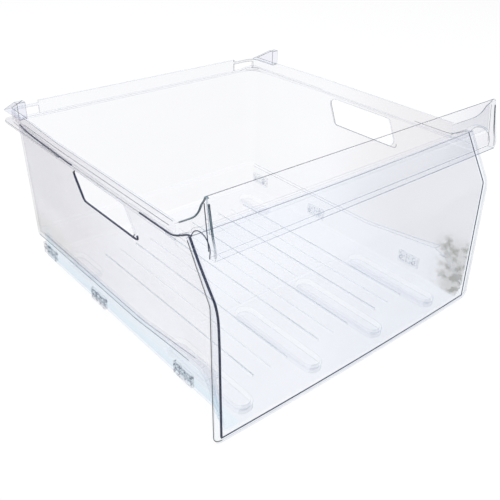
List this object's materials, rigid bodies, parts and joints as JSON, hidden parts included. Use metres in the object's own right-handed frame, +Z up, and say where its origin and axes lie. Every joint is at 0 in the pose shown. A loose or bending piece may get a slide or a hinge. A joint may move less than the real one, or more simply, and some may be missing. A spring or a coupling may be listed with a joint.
{
  "type": "freezer drawer",
  "caption": "Clear plastic pull-out freezer drawer: deep tub, bowed front panel with full-width grip strip, side hand holes, guide clips and rear stops.",
  "frame": {"origin": "middle of the drawer's footprint, at the level of its skids and of the front panel's lower edge", "axes": "+X to the right of someone facing the drawer's front, +Y from the front panel to the back, +Z up"},
  "size_m": [0.439, 0.466, 0.2795],
  "materials": {
    "tub": "gloss",
    "front_panel": "gloss",
    "handle_grip": "gloss",
    "clip": "gloss",
    "stop": "gloss"
  },
  "bodies": {
    "root": {"tub": "tub", "front_panel": "front_panel", "handle_grip": "handle_grip", "clip_left_front": "clip", "clip_left_middle": "clip", "clip_left_rear": "clip", "clip_right_front": "clip", "clip_right_middle": "clip", "clip_right_rear": "clip", "stop_left": "stop", "stop_right": "stop"}
  },
  "joints": []
}
